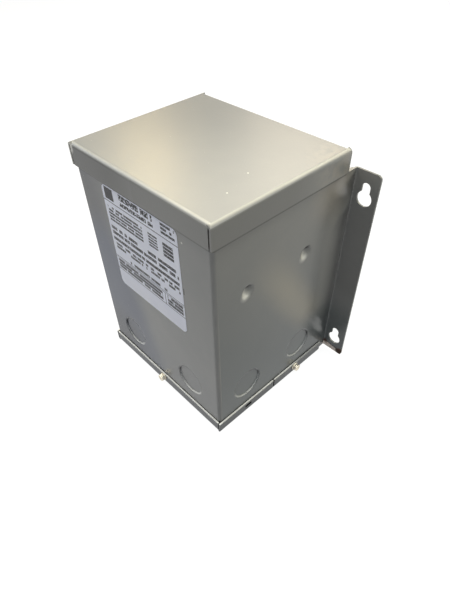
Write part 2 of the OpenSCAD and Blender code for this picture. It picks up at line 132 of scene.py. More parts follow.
# %% Describe a finish
class Finish:
    """A procedural material: one Principled shader and the patterns that feed it."""

    def __init__(self, name, **constants):
        self.material = bpy.data.materials.new(name)
        self.material.use_nodes = True
        self.tree = self.material.node_tree
        self.shader = self.tree.nodes["Principled BSDF"]
        for socket, value in constants.items():
            self.shader.inputs[socket.replace("_", " ")].default_value = value
        self.place = self.make("ShaderNodeTexCoord", output="Object")
        self.x, self.y, self.z = self.split(self.place)

    def make(self, kind, settings=None, inputs=None, output=0):
        """Adds a node of a kind, sets it, fills its inputs and returns one output as a Level."""
        node = self.tree.nodes.new(kind)
        for key, value in (settings or {}).items():
            setattr(node, key, value)
        for key, value in (inputs or {}).items():
            socket = node.inputs[key]
            if isinstance(value, Level):
                self.tree.links.new(value.socket, socket)
            else:
                socket.default_value = value
        return Level(self, node.outputs[output])

    def math(self, operation, *values):
        return self.make("ShaderNodeMath", {"operation": operation}, dict(enumerate(values)))

    def split(self, vector):
        """The three numbers of a vector."""
        parts = self.tree.nodes.new("ShaderNodeSeparateXYZ")
        self.tree.links.new(vector.socket, parts.inputs[0])
        return [Level(self, output) for output in parts.outputs]

    def vector(self, x, y, z):
        return self.make("ShaderNodeCombineXYZ", None, {"X": x, "Y": y, "Z": z})

    def noise(self, scale, detail=2.0, roughness=0.5, at=None, stretch=None):
        """Cloudy noise from 0 to 1; scale is in cells for each metre, stretch is one number for each axis."""
        place = at or self.place
        if stretch:
            place = self.make("ShaderNodeVectorMath", {"operation": "MULTIPLY"}, {0: place, 1: stretch})
        return self.make("ShaderNodeTexNoise", None,
                         {"Vector": place, "Scale": scale, "Detail": detail, "Roughness": roughness})

    def near(self, point, radius, soft=0.5):
        """1 at a point of the model, falling to 0 at the radius."""
        gap = self.make("ShaderNodeVectorMath", {"operation": "DISTANCE"},
                        {0: self.place, 1: point}, output="Value")
        return 1 - gap.ramp(radius * (1 - soft), radius)

    def mix(self, amount, first, second):
        """A colour between two, each a tuple or the result of another mix."""
        node = self.tree.nodes.new("ShaderNodeMix")
        node.data_type = "RGBA"
        for socket, value in ((node.inputs[0], amount), (node.inputs[6], first), (node.inputs[7], second)):
            if isinstance(value, Level):
                self.tree.links.new(value.socket, socket)
            else:
                socket.default_value = value if isinstance(value, float) else (*value, 1.0)
        return Level(self, node.outputs[2])

    def feed(self, **inputs):
        """Links patterns to the shader: Base_Color, Roughness, Metallic or Normal."""
        for key, value in inputs.items():
            self.tree.links.new(value.socket, self.shader.inputs[key.replace("_", " ")])

    def bump(self, height, depth, strength=1.0, over=None):
        """Turns a height from 0 to 1 into a normal; depth is its real size, over is a normal below it."""
        inputs = {"Height": height, "Distance": depth, "Strength": strength}
        if over:
            inputs["Normal"] = over
        return self.make("ShaderNodeBump", None, inputs)

print("finishes can be described")

# %% [markdown]
# ## Grey enamel
#
# The case, its back panel and its covers are dipped and baked in one grey enamel. Close up it
# has a fine orange peel, from the way wet paint flows, and the sheet under it is never quite
# flat.

# %% Mix the grey enamel
class Enamel(Finish):
    """Baked grey enamel on sheet steel, over which a sheet lays its own marks."""

    def __init__(self, name, gloss=0.24, shine=0.5):
        super().__init__(name, Specular_IOR_Level=shine)
        self.film = self.noise(60, 4, 0.6)
        clouds = self.noise(9, 3)
        self.colour = self.mix(clouds.ramp(0.3, 0.7), (0.246, 0.250, 0.248), (0.274, 0.275, 0.268))
        self.lay(self.film.ramp(0.35, 0.75) * 0.10, (0.36, 0.355, 0.33))
        self.rough = gloss + 0.08 * self.film
        waves = self.bump(self.noise(16, 1), 0.0009, 0.35)
        self.normal = self.bump(self.noise(700, 2), 0.00012, 0.35, over=waves)

    def lay(self, amount, colour):
        self.colour = self.mix(amount, self.colour, colour)

    def finish(self):
        self.feed(Base_Color=self.colour, Roughness=self.rough, Normal=self.normal)
        print(self.material.name, "has", len(self.tree.nodes), "nodes")
        return self

# %% Give a node its finish
def dress(finish, *nodes):
    for name in nodes:
        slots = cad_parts[name].data.materials
        slots.clear()
        slots.append(finish.material)
    print(finish.material.name, "is on", ", ".join(nodes))

dress(Enamel("panel_enamel").finish(), "back_panel")

# %% [markdown]
# ## Where the sheets meet
#
# A contact line is what makes a folded box read as separate sheets. A painted shadow runs under the top
# cover's lip, and from just above the bottom covers' edge downwards the sheet is painted near black as
# painted shade, with a rougher gloss.
# The heights come from the boxes of the covers, so the lines follow the model.

# %% Measure the covers and paint the contact lines
lid_low, lid_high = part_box("top_cover")
pan_low, pan_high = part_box("front_bottom_cover")
rear_low, rear_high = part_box("rear_bottom_cover")

def painted_contact_shade(paint):
    under_lip = paint.z.ramp(lid_low.z - 2.9 * MM, lid_low.z - 1.7 * MM) & (paint.y < lid_high.y)
    reach = 1.2 * MM + 1.4 * MM * paint.noise(55, 2)
    above = (paint.z - pan_high.z) / reach
    over_pan = (1 - above.ramp(0.55, 1.15)) & (paint.y < rear_high.y + 0.2 * MM)
    # Painted shade: a shadow line under the lip, and near black above and behind the bottom covers.
    paint.lay(under_lip * 0.72, (0.060, 0.058, 0.054))
    paint.lay(over_pan * 0.96, (0.010, 0.010, 0.011))
    paint.rough = paint.rough + over_pan * 0.75

print("top cover's lip at", round(lid_low.z / MM, 2), "mm, bottom covers' edge at", round(pan_high.z / MM, 2), "mm")

# %% [markdown]
# ## Light, shade and reflection painted over the walls
#
# The walls carry painted light, shade and reflection: a bluish painted reflection on the front's far,
# lower part, painted shade with a bluish reflection low down on the sides, painted shade at the top
# and the foot of the front's far side, painted light on the side wall next to the mounting flange, a
# warm painted reflection across the right wall, and warm painted light near the top of the side walls'
# rear. Most are soft bands with a direction, a distance from a slanting line that a noise disturbs.

# %% Paint light, shade and reflection on the walls
def painted_wall_light(paint):
    drift = (paint.noise(14, 3) - 0.5) * 0.016
    front = paint.y < -0.066
    side = 1 - front
    front_blue_reflection = 1 - (paint.x + 0.326 * paint.z - 0.0062 + drift).ramp(-0.018, 0.016)
    front_low_reflection = (1 - (paint.z + drift).ramp(0.030, 0.075)) * 0.35
    # Painted bluish reflection over the front's far, lower part and low across its middle.
    paint.lay((front & front_blue_reflection) * 0.92, (0.094, 0.112, 0.166))
    paint.lay(front * front_low_reflection, (0.150, 0.160, 0.172))
    # Painted shade with a bluish reflection low down on the side walls.
    side_blue_reflection = 1 - (paint.z + 0.35 * paint.y + drift).ramp(0.025, 0.190)
    paint.lay((side & side_blue_reflection) * 0.80, (0.130, 0.151, 0.160))
    # Painted shade at the top and at the foot of the front's far side.
    front_top_left_shade = paint.near((-0.072, -0.0692, 0.175), 0.050, 0.9)
    paint.lay((front & front_top_left_shade) * 0.75, (0.120, 0.118, 0.112))
    low_left_shade = paint.near((-0.062, -0.0692, 0.020), 0.050, 0.9)
    paint.lay(low_left_shade * 0.90, (0.050, 0.055, 0.070))
    # Painted light on the side wall beside the mounting flange.
    rear_strip_light = (paint.x > 0) & paint.y.ramp(0.036, 0.052) & paint.z.ramp(0.045, 0.080) & (1 - paint.z.ramp(0.135, 0.175))
    paint.lay((side & rear_strip_light) * 0.60, (0.430, 0.425, 0.420))
    # A warm painted reflection across the right wall, then warm painted light near the top of the side walls' rear.
    across = 0.823 * (paint.y + 0.025) + 0.573 * (paint.z - 0.160) + 0.5 * drift
    along = 0.573 * (paint.y + 0.029) - 0.823 * (paint.z - 0.160)
    warm_reflection_band = (1 - across.abs().ramp(0.001, 0.024)) & along.ramp(-0.015, 0.060) & (1 - along.ramp(0.100, 0.134))
    paint.lay((side & warm_reflection_band & (paint.x > 0)) * 0.80, (0.405, 0.378, 0.318))
    rear_top_warm_light = paint.near((0.0762, 0.048, 0.186), 0.034, 0.9) | paint.near((-0.0762, 0.048, 0.186), 0.034, 0.9)
    paint.lay(rear_top_warm_light * (0.35 + 0.5 * paint.noise(150, 3)) * 0.65, (0.400, 0.350, 0.290))

print("the walls can be tinted")

# %% [markdown]
# ## Knockouts
#
# A knockout is a disc that a punch has pushed almost through the sheet. The sheet rolls over
# towards the cut all round it, as pastry does round a cutter. That rollover is too fine to model,
# so it is a bump that rises outwards from the rim: below the disc it faces up and shines, above
# the disc it faces down and stays dark. A painted shadow on the upper arc and a painted highlight
# on the lower arc strengthen both, and painted light brightens the step face at one lower side.

# %% Roll the sheet over round the knockouts
KNOCKOUT_R = 14.1 * MM
KNOCKOUT_Z = 38.5 * MM

def knockouts(paint):
    front = paint.y < -0.0675
    side = (paint.x.abs() > 0.0750) & (paint.y < 0.070)
    up = paint.z - KNOCKOUT_Z
    rims = [(front, x - paint.x) for x in (-40 * MM, 40 * MM)]
    rims += [(side, paint.y - y) for y in (-36.725 * MM, 28.275 * MM)]
    height = None
    for wall, off in rims:
        radius = (off * off + up * up).root()
        rise = 1 - (wall & (1 - radius.ramp(KNOCKOUT_R - 0.4 * MM, KNOCKOUT_R + 1.7 * MM)))
        height = rise if height is None else height * rise
        rim = wall & radius.ramp(KNOCKOUT_R - 1.0 * MM, KNOCKOUT_R - 0.3 * MM)
        shadow_rim = rim & (1 - radius.ramp(KNOCKOUT_R + 0.2 * MM, KNOCKOUT_R + 0.8 * MM))
        highlight_rim = rim & (1 - radius.ramp(KNOCKOUT_R + 0.4 * MM, KNOCKOUT_R + 1.2 * MM))
        # Painted shadow on the upper arc, painted light on the step face at one lower side, painted highlight on the
        # lower arc.
        shade = ((0.78 * off + 0.62 * up) / KNOCKOUT_R).ramp(0.55, 0.97)
        step_light = ((0.80 * off - 0.60 * up) / KNOCKOUT_R).ramp(0.60, 0.95)
        shine = ((-0.28 * off - 0.96 * up) / KNOCKOUT_R).ramp(0.40, 0.90)
        paint.lay(shadow_rim * shade * (0.70 if wall is side else 0.45), (0.022, 0.022, 0.023))
        paint.lay(shadow_rim * step_light * 0.75, (0.560, 0.570, 0.580))
        paint.lay(highlight_rim * shine * (0.62 if wall is side else 0.75), (0.740, 0.750, 0.750))
    paint.normal = paint.bump(height, 0.9 * MM, 1.0, over=paint.normal)

print("knockout radius", round(KNOCKOUT_R / MM, 1), "mm")

# %% [markdown]
# The dimples that locate the core are pressed from outside. Each carries painted light over its
# hollow, a painted shadow in its upper half and a painted highlight in its lower half.

# %% Shade the dimples
def dimples(paint):
    for side_x in (-75.2 * MM, 75.2 * MM):
        for centre_y in (-38.225 * MM, 23.775 * MM):
            dimple_light = paint.near((side_x, centre_y, 144.0 * MM), 7.4 * MM, 0.7)
            dark = paint.near((side_x, centre_y + 1.5 * MM, 147.0 * MM), 4.2 * MM, 0.95)
            pale = paint.near((side_x, centre_y - 2.2 * MM, 140.7 * MM), 6.2 * MM, 0.90)
            # Painted light over the hollow, painted shadow in the upper half, painted highlight in the lower half.
            paint.lay(dimple_light * 0.55, (0.420, 0.420, 0.410))
            paint.lay(dark * 0.95, (0.016, 0.016, 0.017))
            paint.lay(pale * 0.85, (0.740, 0.740, 0.710))

print("dimples can be shaded")

# %% [markdown]
# ## Worn metal and painted shade at the mounting flange
#
# The lower edge of the right flange has lost its enamel. A pale strip, a few millimetres high,
# runs from the bend outwards and thins out towards the corner, where rust has come through.
# Above it, the flange's face is painted darker as painted shade, darkest at middle height.

# %% Wear along the flange's lower edge, and painted shade on its face
def flange_wear_and_shade(paint):
    bend_x, corner_x, edge_z = 76.5 * MM, 97.5 * MM, 1.5 * MM
    outwards = paint.x.ramp(bend_x, corner_x)
    ragged = paint.noise(420, 3) - 0.5
    top = edge_z + 6.8 * MM - 2.4 * MM * outwards + 1.6 * MM * ragged
    on_flange = (paint.x > bend_x - 2.0 * MM) & (paint.y > 72.4 * MM)
    corner = paint.near((corner_x - 1.4 * MM, 74.0 * MM, 5.2 * MM), 6.0 * MM, 0.4)
    strip = on_flange & (paint.z < top) & (1 - corner)
    spots = paint.noise(650, 2) > 0.60
    bend = paint.near((bend_x + 1.5 * MM, 73.6 * MM, 8.6 * MM), 3.6 * MM, 0.6)
    edge = on_flange & (paint.z - top).between(0.0, 0.9 * MM)
    middle = paint.z.ramp(0.050, 0.090) & (1 - paint.z.ramp(0.140, 0.185))
    # Painted shade over the flange's face, darkest at middle height.
    paint.lay(on_flange * (0.30 + 0.30 * middle), (0.105, 0.106, 0.106))
    paint.lay(strip, (1.0, 0.89, 0.84))
    paint.lay(strip * spots * 0.5, (0.42, 0.27, 0.21))
    rust = on_flange & (corner | bend | (edge * 0.7))
    paint.lay(rust.math("MINIMUM", 1.0) * 0.95, (0.055, 0.024, 0.014))
    paint.rough = paint.rough + 0.3 * (strip | rust)
    turned_out = on_flange & (1 - (paint.z - edge_z).ramp(0.0, 7.0 * MM))
    paint.normal = paint.bump(turned_out, 11.0 * MM, 1.0, over=paint.normal)

# %% Enamel of the case
def case_enamel():
    paint = Enamel("case_enamel", 0.20, shine=0.30)
    painted_wall_light(paint)
    painted_contact_shade(paint)
    knockouts(paint)
    dimples(paint)
    flange_wear_and_shade(paint)
    front = paint.y < -0.068
    chips = (paint.noise(700, 1) > 0.80) & (paint.noise(30, 2) > 0.50)
    paint.lay(front * chips * 0.5, (0.60, 0.60, 0.57))
    paint.lay(paint.near((47.3 * MM, -69.2 * MM, 186.3 * MM), 1.0 * MM), (0.62, 0.61, 0.58))
    tick = front & paint.x.between(43.7 * MM, 44.8 * MM) & paint.z.between(140.0 * MM, 146.0 * MM)
    paint.lay(tick * 0.85, (0.030, 0.030, 0.032))
    return paint.finish()

dress(case_enamel(), "case_wrap")

# %% [markdown]
# ## Enamel of the covers
#
# The top cover carries dust and two small chips. Its bends carry a painted highlight, its front left
# corner and left flange painted light and the rear of its right flange warm painted light; the top
# towards its back left corner, the left of its front flange, the front of its right flange and the edge
# along its lip carry painted shade. The bottom covers are painted darker and bluish towards the floor,
# as painted shade and reflection, and their edges at the seam and the slots are painted black as
# painted shade. Their cut edge that looks up is bright: the enamel has pulled back there and bare zinc
# shows, and a painted highlight adds to it.

# %% Dress the covers
def lid_enamel():
    paint = Enamel("lid_enamel", 0.29)
    bend = (paint.x.abs() - 74.5 * MM) | (-67.5 * MM - paint.y) | (paint.y - 57.4 * MM)
    bend_highlight = bend.ramp(0.0, 1.2 * MM) & (1 - bend.ramp(1.3 * MM, 3.0 * MM)) & (paint.z > lid_high.z - 3.2 * MM)
    front_end_shade = (paint.y < lid_low.y + 3.2 * MM) & (1 - paint.z.ramp(lid_high.z - 2.8 * MM, lid_high.z - 1.2 * MM))
    far_end_shade = 1 - (paint.x - paint.y).ramp(-0.130, 0.115)
    # Painted shade: the top towards its back left corner, the front flange towards the left, the front of the right
    # flange.
    paint.lay(far_end_shade * (paint.z > lid_high.z - MM) * 0.80, (0.122, 0.121, 0.112))
    paint.lay(front_end_shade * (1 - paint.x.ramp(-0.035, 0.045)), (0.066, 0.067, 0.063))
    side_end_shade = (bend > 3.0 * MM) & (paint.x > 0) & (1 - paint.y.ramp(-0.005, 0.045))
    paint.lay(side_end_shade * 0.60, (0.125, 0.125, 0.116))
    # Painted highlight along the bends, painted light at the front left corner and the left flange, warm painted light
    # at the rear of the right flange.
    paint.lay(bend_highlight * (0.50 + 0.40 * paint.x.ramp(-0.05, 0.06)), (0.680, 0.670, 0.610))
    paint.lay(paint.near((-76.6 * MM, -69.6 * MM, 209.5 * MM), 6.0 * MM) * 0.85, (0.700, 0.690, 0.640))
    paint.lay((paint.x < lid_low.x + 2.0 * MM) * 0.80, (0.420, 0.415, 0.390))
    rear_right = paint.near((77.9 * MM, 46.0 * MM, 205.0 * MM), 32 * MM, 0.9) * paint.noise(160, 3).ramp(0.35, 0.65)
    paint.lay(rear_right * 0.35, (0.420, 0.370, 0.300))
    # Painted shade along the lip's lower edge.
    paint.lay((1 - paint.z.ramp(lid_low.z + 0.3 * MM, lid_low.z + 0.9 * MM)) * 0.60, (0.085, 0.083, 0.078))
    dust = (paint.noise(900, 1) > 0.795) & (paint.noise(28, 2) > 0.56)
    paint.lay(dust * (paint.z > lid_high.z - 0.1 * MM) * 0.5, (0.62, 0.61, 0.57))
    for chip in ((50.3, -13.4, 213.9), (58.4, -39.7, 213.9)):
        paint.lay(paint.near([c * MM for c in chip], 0.7 * MM), (0.80, 0.79, 0.75))
    return paint.finish()

def cover_enamel():
    paint = Enamel("cover_enamel", 0.26, shine=0.20)
    # Painted shade with a bluish painted reflection, darker towards the floor.
    paint.lay((1 - paint.z.ramp(0.001, 0.011)) * 0.25 + 0.68, (0.090, 0.098, 0.112))
    # Seam and slot edges painted black as painted shade in the gaps.
    seam_edge = (paint.y + 2.225 * MM).abs() < 0.76 * MM
    slot_edge = paint.x.abs().between(76.2 * MM, 77.42 * MM) & (paint.y + 35.525 * MM).abs().ramp(4.3 * MM, 4.2 * MM)
    slot_edge = slot_edge & (paint.z - 7.2 * MM).abs().ramp(1.9 * MM, 1.8 * MM)
    paint.lay((seam_edge | slot_edge) * 0.95, (0.012, 0.012, 0.013))
    # The bright upper edge is partly bare zinc and partly a painted highlight.
    wander = paint.noise(120, 3)
    bare_and_highlight = paint.z.ramp(pan_high.z - 0.9 * MM, pan_high.z - 0.35 * MM) * (0.8 + 0.4 * wander)
    paint.lay(bare_and_highlight * (1 - 0.55 * paint.y.ramp(0.018, 0.034)), (0.93, 0.94, 0.93))
    return paint.finish()

dress(lid_enamel(), "top_cover")
dress(cover_enamel(), "front_bottom_cover", "rear_bottom_cover")

# %% [markdown]
# ## The data label
#
# The label is a printed film. Its rules and blocks of small print are drawn as plain bars in
# the shader: a row of print is a bar cut into word-long dashes by noise, so it reads as print
# from afar and holds no lettering. u and v run over the label from its top left corner.

# %% Print the label
def label_film():
    low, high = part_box("data_label")
    film = Finish("label_film", Specular_IOR_Level=0.22)
    u = (film.x - low.x) / (high.x - low.x)
    v = (high.z - film.z) / (high.z - low.z)

    def bar(u0, u1, v0, v1):
        return u.between(u0, u1) & v.between(v0, v1)

    def rows(u0, u1, v0, v1, count=1, fill=0.90, cell=125, gaps=0.37, letters=0.36):
        """Rows of print: dashes on evenly spaced lines inside a rectangle."""
        line = (v - v0) * (count / (v1 - v0))
        row = line.floor() * 7.3 + (u0 * 50 + v0 * 31)
        letter = film.noise(cell, 1, at=film.vector(u, row, v)) > letters
        word = film.noise(cell / 6, 0, at=film.vector(u, row, 0.0)) > gaps
        return bar(u0, u1, v0, v1) & (line.fract() < fill) & letter & word

    rules = bar(0.0, 1.0, 0.131, 0.138) | bar(0.0, 1.0, 0.683, 0.689) | bar(0.0, 1.0, 0.699, 0.704)
    rules = rules | bar(0.0, 1.0, 0.822, 0.829) | bar(0.735, 0.742, 0.699, 0.829)
    head = bar(0.035, 0.160, 0.012, 0.115) | rows(0.25, 0.70, 0.008, 0.060, fill=1.0, cell=70, letters=0.42, gaps=0.30)
    head = head | rows(0.25, 0.70, 0.076, 0.114, fill=0.9, cell=100, gaps=0.30, letters=0.42) | rows(0.80, 0.97, 0.014, 0.116, 3, 0.66)
    body = rows(0.04, 0.53, 0.175, 0.325, 5, 0.66) | rows(0.61, 0.73, 0.18, 0.31, 5, 0.62, gaps=0.0)
    body = body | rows(0.80, 0.93, 0.18, 0.31, 4, 0.80, gaps=0.0, letters=0.34)
    body = body | rows(0.03, 0.42, 0.367, 0.402) | rows(0.56, 0.94, 0.367, 0.402) | rows(0.03, 0.97, 0.416, 0.452)
    body = body | rows(0.03, 0.97, 0.478, 0.512) | rows(0.05, 0.47, 0.530, 0.600, 2, 0.70)
    body = body | rows(0.50, 0.97, 0.530, 0.600, 2, 0.70, gaps=0.44) | rows(0.24, 0.78, 0.645, 0.676)
    foot = rows(0.03, 0.70, 0.712, 0.812, 3, 0.80, cell=110, gaps=0.33, letters=0.35)
    foot = foot | rows(0.77, 0.98, 0.710, 0.815, 3, 0.80, gaps=0.30, letters=0.35)
    marks = rules | head | body | foot
    ink = marks.math("MINIMUM", 1.0) * film.noise(2600, 1).ramp(0.05, 0.35)
    stain = film.noise(40, 3)
    paper = film.mix(stain.ramp(0.35, 0.75), (0.80, 0.825, 0.945), (0.86, 0.88, 0.985))
    film.feed(Base_Color=film.mix(ink, paper, (0.004, 0.005, 0.009)),
              Roughness=0.30 + 0.08 * stain,
              Normal=film.bump(film.noise(300, 2), 0.00008, 0.3))
    print("label nodes:", len(film.tree.nodes))
    return film

dress(label_film(), "data_label")

# %% [markdown]
# ## Plated steel
#
# The screws are zinc plated, with the faint yellow of old passivation. Plating has a soft bloom
# and fine lines from the header's die, so both colour and gloss vary over a fraction of a
# millimetre. The ground screw is dyed green, as the wiring rules ask.

# %% Finish for plated steel
def plated(name, low, high, roughness):
    steel = Finish(name, Metallic=1.0)
    bloom = steel.noise(500, 3, 0.6)
    scratch = steel.noise(1500, 2, 0.6, stretch=(1.0, 1.0, 0.08))
    steel.feed(Base_Color=steel.mix(bloom.ramp(0.3, 0.7), low, high),
               Roughness=roughness + 0.16 * bloom,
               Normal=steel.bump(scratch, 0.00003, 0.5))
    return steel

zinc = plated("zinc_screw", (0.58, 0.53, 0.43), (0.80, 0.76, 0.65), 0.24)
green = plated("green_screw", (0.05, 0.20, 0.08), (0.09, 0.30, 0.13), 0.30)
dress(plated("plain_steel", (0.42, 0.42, 0.42), (0.56, 0.56, 0.57), 0.32), "core_bolts", "core_washers", "core_nuts")

# %% [markdown]
# ## A hexagon washer head screw
#
# The model's screws are plain: a disc, a hexagon and a rod. The real one is cold headed, so its
# washer face has a chamfered rim, the hexagon's corners are rounded, its top is dished, and the
# shank carries a rolled thread. The screw is made once, upright at the origin, and then copied.
# A round part could be spun from a profile; here it grows upwards from a disc, one extrusion and
# one resize at a time, which keeps every height and radius in one short list.

# %% Grow a round part upwards
def choose(kind, test):
    """In edit mode, selects only the verts, edges or faces that pass a test, and says how many."""
    data = bpy.context.object.data
    mesh = bmesh.from_edit_mesh(data)
    for items in (mesh.verts, mesh.edges, mesh.faces):
        for item in items:
            item.select_set(False)
    chosen = [item for item in getattr(mesh, kind) if test(item)]
    for item in chosen:
        item.select_set(True)
    bmesh.update_edit_mesh(data)
    return len(chosen)

def turned(name, steps, around=32):
    """A closed round part: a disc at the first height and radius, then one step for each that follows."""
    bpy.ops.object.select_all(action="DESELECT")
    height, radius = steps[0]
    bpy.ops.mesh.primitive_circle_add(vertices=around, radius=radius, fill_type="NGON")
    part = bpy.context.object
    part.name = name
    bpy.ops.object.mode_set(mode="EDIT")
    bpy.ops.transform.translate(value=(0, 0, height))
    for next_height, next_radius in steps[1:]:
        bpy.ops.mesh.extrude_region_move(TRANSFORM_OT_translate={"value": (0, 0, next_height - height)})
        scale = next_radius / radius
        bpy.ops.transform.resize(value=(scale, scale, 1), center_override=(0, 0, next_height))
        height, radius = next_height, next_radius
    bpy.ops.mesh.select_all(action="SELECT")
    bpy.ops.mesh.remove_doubles(threshold=0.000001)
    bpy.ops.mesh.normals_make_consistent(inside=False)
    bpy.ops.object.mode_set(mode="OBJECT")
    print(name, "has", len(part.data.polygons), "faces")
    return part

# %% Add the hexagon
HEAD_H = 4.3 * MM
HEX_R = 6.35 / math.sqrt(3) * MM
WASHER_R = 3.8 * MM

def apply_boolean(part, cutter, operation):
    """Joins or cuts with a second mesh, applies it and removes that mesh."""
    change = part.modifiers.new(operation.lower(), "BOOLEAN")
    change.operation, change.object, change.solver = operation, cutter, "EXACT"
    bpy.ops.object.select_all(action="DESELECT")
    bpy.context.view_layer.objects.active = part
    part.select_set(True)
    bpy.ops.object.modifier_apply(modifier=change.name)
    bpy.data.objects.remove(cutter)

def hexagon():
    """The hexagon, with rounded corners and a chamfered, dished top."""
    low = 0.5 * MM
    bpy.ops.object.select_all(action="DESELECT")
    bpy.ops.mesh.primitive_cylinder_add(vertices=6, radius=HEX_R, depth=HEAD_H - low)
    part = bpy.context.object
    bpy.ops.object.mode_set(mode="EDIT")
    bpy.ops.transform.translate(value=(0, 0, (HEAD_H + low) / 2))
    bpy.ops.mesh.select_mode(type="EDGE")
    choose("edges", lambda e: abs(e.verts[0].co.z - e.verts[1].co.z) > MM)
    bpy.ops.mesh.bevel(offset=0.22 * MM, segments=3, affect="EDGES")
    choose("edges", lambda e: min(v.co.z for v in e.verts) > HEAD_H - 0.01 * MM)
    bpy.ops.mesh.bevel(offset=0.40 * MM, segments=3, affect="EDGES")
    bpy.ops.mesh.select_mode(type="FACE")
    bpy.ops.object.mode_set(mode="OBJECT")
    dish = turned("dish", [(HEAD_H - 0.5 * MM, 1.60 * MM), (HEAD_H - 0.35 * MM, 1.90 * MM), (HEAD_H + MM, 2.10 * MM)])
    apply_boolean(part, dish, "DIFFERENCE")
    return part

# %% Make a whole screw
def screw(name, shank_l, pitch=1.0 * MM, crest=2.1 * MM, core=1.7 * MM):
    """An upright screw: its washer face lies on z = 0 and its thread hangs below."""
    steps = [(-shank_l, 1.2 * MM), (-shank_l + 0.5 * MM, core)]
    height = -shank_l + 0.6 * MM
    while height < -1.6 * pitch:
        steps += [(height + 0.12 * pitch, core), (height + 0.48 * pitch, crest), (height + 0.60 * pitch, crest),
                  (height + 0.96 * pitch, core)]
        height += pitch
    steps += [(-0.3 * MM, core), (-0.02 * MM, 1.95 * MM), (0.0, 1.97 * MM), (0.0, WASHER_R - 0.12 * MM),
              (0.12 * MM, WASHER_R), (0.62 * MM, WASHER_R), (0.80 * MM, WASHER_R - 0.15 * MM), (0.90 * MM, WASHER_R - 0.45 * MM)]
    part = turned(name, steps)
    apply_boolean(part, hexagon(), "UNION")
    bpy.ops.object.shade_smooth_by_angle(angle=math.radians(32))
    print(name, "is", round(part.dimensions.z / MM, 1), "mm long")
    return part

# %% [markdown]
# The cover screws stand on the bottom covers and the ground screw on the back panel. Each copy
# is turned about its own axis first, because no two screws stop at the same angle, then laid
# along its axis and moved to the middle of the model's screw. Its place is then applied, so the
# finished object sits at the origin.

# %% Set the screws in place
TO_FRONT = Matrix.Rotation(math.radians(90), 4, "X")
TO_RIGHT = Matrix.Rotation(math.radians(90), 4, "Y")
TO_LEFT = Matrix.Rotation(math.radians(-90), 4, "Y")

def set_screw(pattern, name, place, axis, turn):
    """A copy of a screw with its own mesh, its washer face at a place and its head along an axis."""
    copy = bpy.data.objects.new(name, pattern.data.copy())
    bpy.context.collection.objects.link(copy)
    copy.data.transform(Matrix.Translation(place) @ axis @ Matrix.Rotation(math.radians(turn), 4, "Z"))
    return copy

def seat(piece, node, body, finish):
    """Hands a finished piece to its body, in the place of the model's plain one."""
    piece.data.materials.clear()
    piece.data.materials.append(finish.material)
    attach(piece, body)
    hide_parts(node)
    low, high = (min(v.co.x for v in piece.data.vertices), max(v.co.x for v in piece.data.vertices))
    print(piece.name, "spans x", round(low / MM, 1), "to", round(high / MM, 1), "mm on", body)

long_screw = screw("long_screw", 10 * MM)
short_screw = screw("short_screw", 4 * MM)

low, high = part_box("front_cover_screw")
front_screw = set_screw(long_screw, "turned_front_cover_screw",
                        ((low.x + high.x) / 2, low.y + HEAD_H, (low.z + high.z) / 2), TO_FRONT, 24)
seat(front_screw, "front_cover_screw", "bottom_cover", zinc)

low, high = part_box("rear_cover_screws")
middle = ((low.y + high.y) / 2, (low.z + high.z) / 2)
side_screws = set_screw(long_screw, "turned_rear_cover_screws", (high.x - HEAD_H, *middle), TO_RIGHT, 12)
left_screw = set_screw(long_screw, "left_screw", (low.x + HEAD_H, *middle), TO_LEFT, 41)
bpy.ops.object.select_all(action="DESELECT")
left_screw.select_set(True)
side_screws.select_set(True)
bpy.context.view_layer.objects.active = side_screws
bpy.ops.object.join()
seat(side_screws, "rear_cover_screws", "transformer", zinc)

low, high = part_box("ground_screw")
earth_screw = set_screw(short_screw, "turned_ground_screw",
                        ((low.x + high.x) / 2, low.y + HEAD_H, (low.z + high.z) / 2), TO_FRONT, 8)
seat(earth_screw, "ground_screw", "transformer", green)

for pattern in (long_screw, short_screw):
    bpy.data.objects.remove(pattern)

# %% [markdown]
# ## The hidden pieces
#
# Inside the case nothing shows until the bottom cover is drawn off, but every piece still gets
# its own finish: dark varnished laminations with the lines of their stack, enamelled copper in
# turns, impregnated paper, fibre board, and the coloured insulation of the leads.

# %% Finish for stacked laminations and for wound wire
def ribbed(name, axis, pitch, low, high, roughness, metallic, depth):
    """Fine parallel lines along one axis, a pitch apart, as a stack of sheets or a row of turns."""
    body = Finish(name, Metallic=metallic)
    along = {"x": body.x, "y": body.y, "z": body.z}[axis]
    line = (along / pitch).fract()
    groove = (line - 0.5).abs().ramp(0.30, 0.5)
    tone = body.noise(80, 3)
    colour = body.mix(tone.ramp(0.3, 0.7), low, high)
    body.feed(Base_Color=body.mix(groove * 0.6, colour, tuple(c * 0.35 for c in low)),
              Roughness=roughness + 0.15 * tone,
              Normal=body.bump(1 - groove, depth, 0.8))
    return body

dress(ribbed("lamination_steel", "y", 0.0005, (0.085, 0.085, 0.09), (0.13, 0.13, 0.135), 0.42, 0.7, 0.00006),
      "core_e_laminations", "core_i_laminations")
dress(ribbed("magnet_wire", "z", 0.0016, (0.36, 0.11, 0.045), (0.50, 0.17, 0.06), 0.26, 0.85, 0.00035),
      "inner_winding", "outer_winding")

# %% Finish for boards, papers, rubber and plastics
def matt(name, low, high, roughness, grain=220, depth=0.00006, stretch=None):
    stuff = Finish(name, Specular_IOR_Level=0.4)
    tone = stuff.noise(grain, 4, 0.6, stretch=stretch)
    stuff.feed(Base_Color=stuff.mix(tone.ramp(0.3, 0.7), low, high),
               Roughness=roughness + 0.12 * tone,
               Normal=stuff.bump(stuff.noise(grain * 4, 2, stretch=stretch), depth, 0.6))
    return stuff

